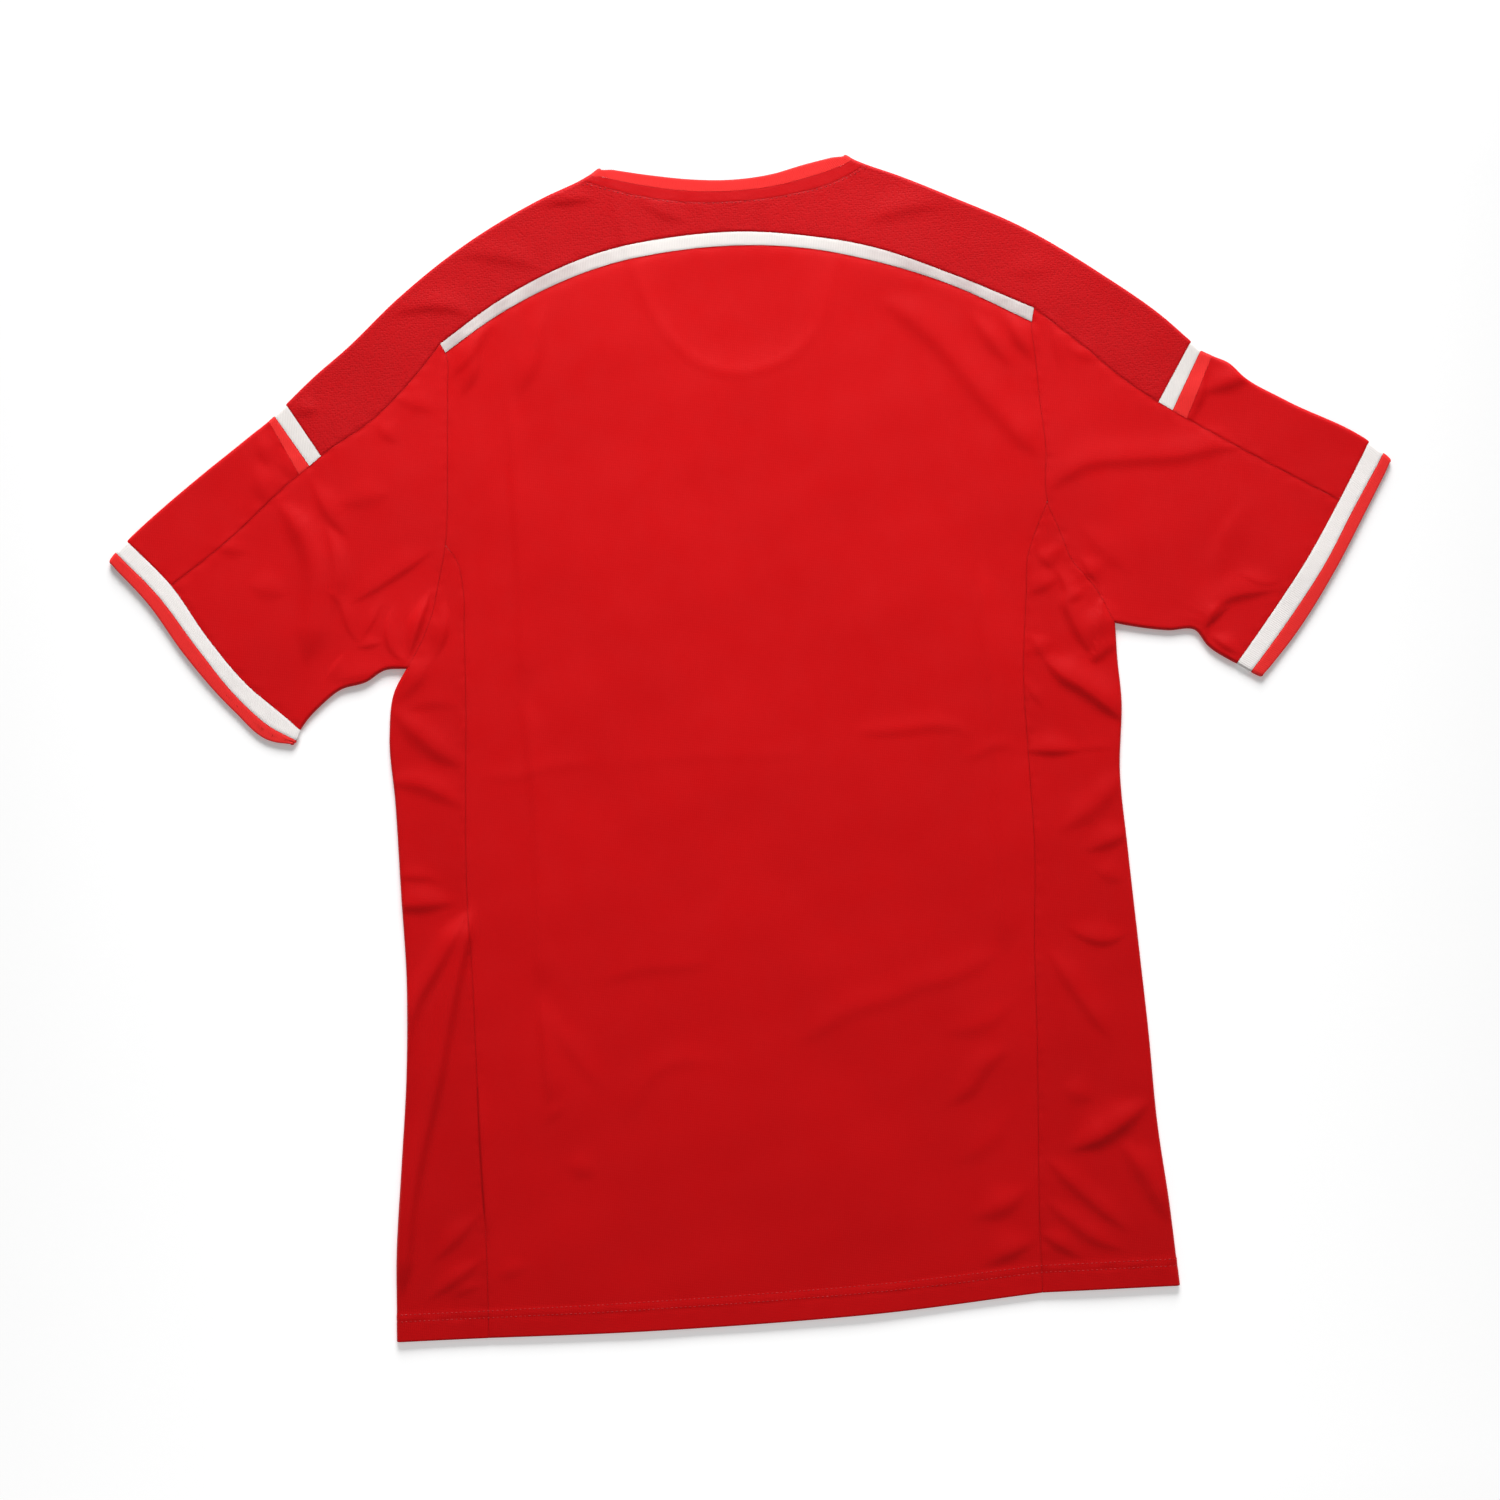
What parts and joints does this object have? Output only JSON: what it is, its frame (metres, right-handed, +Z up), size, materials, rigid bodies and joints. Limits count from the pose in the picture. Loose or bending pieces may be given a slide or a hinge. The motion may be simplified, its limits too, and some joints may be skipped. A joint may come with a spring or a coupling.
{
  "type": "football jersey laid flat",
  "caption": "short-sleeved sports shirt laid flat with its back up, cut from shaped panels with a shoulder yoke, tape trims, banded cuffs and a ring collar",
  "frame": {"origin": "middle of the garment's outline, on the surface it lies on", "axes": "+Z up from the surface, +Y towards the neck along the garment's centre line, -X towards the wearer's left; the back of the garment faces up"},
  "size_m": [0.8482, 0.7664, 0.0099],
  "materials": {
    "red_knit": "smooth polyester interlock knit with a faint sheen",
    "red_side_knit": "smooth polyester knit, a shade darker",
    "red_yoke_knit": "textured polyester mesh knit",
    "red_neckband": "smooth self-fabric neckband",
    "orange_red_trim": "orange-red fine rib",
    "white_tape": "white satin tape and rib"
  },
  "bodies": {
    "root": {"back_panel": "red_knit", "front_panel": "red_knit", "side_panel_left": "red_side_knit", "side_panel_right": "red_side_knit", "yoke": "red_yoke_knit", "yoke_stripe": "white_tape", "sleeve_left": "red_knit", "sleeve_right": "red_knit", "sleeve_top_left": "red_knit", "sleeve_top_right": "red_knit", "sleeve_stripe_left": "white_tape", "sleeve_stripe_right": "white_tape", "sleeve_line_left": "orange_red_trim", "sleeve_line_right": "orange_red_trim", "cuff_band_left": "white_tape", "cuff_band_right": "white_tape", "cuff_edge_left": "orange_red_trim", "cuff_edge_right": "orange_red_trim", "collar_edge": "orange_red_trim", "collar_band": "red_neckband"}
  },
  "joints": []
}
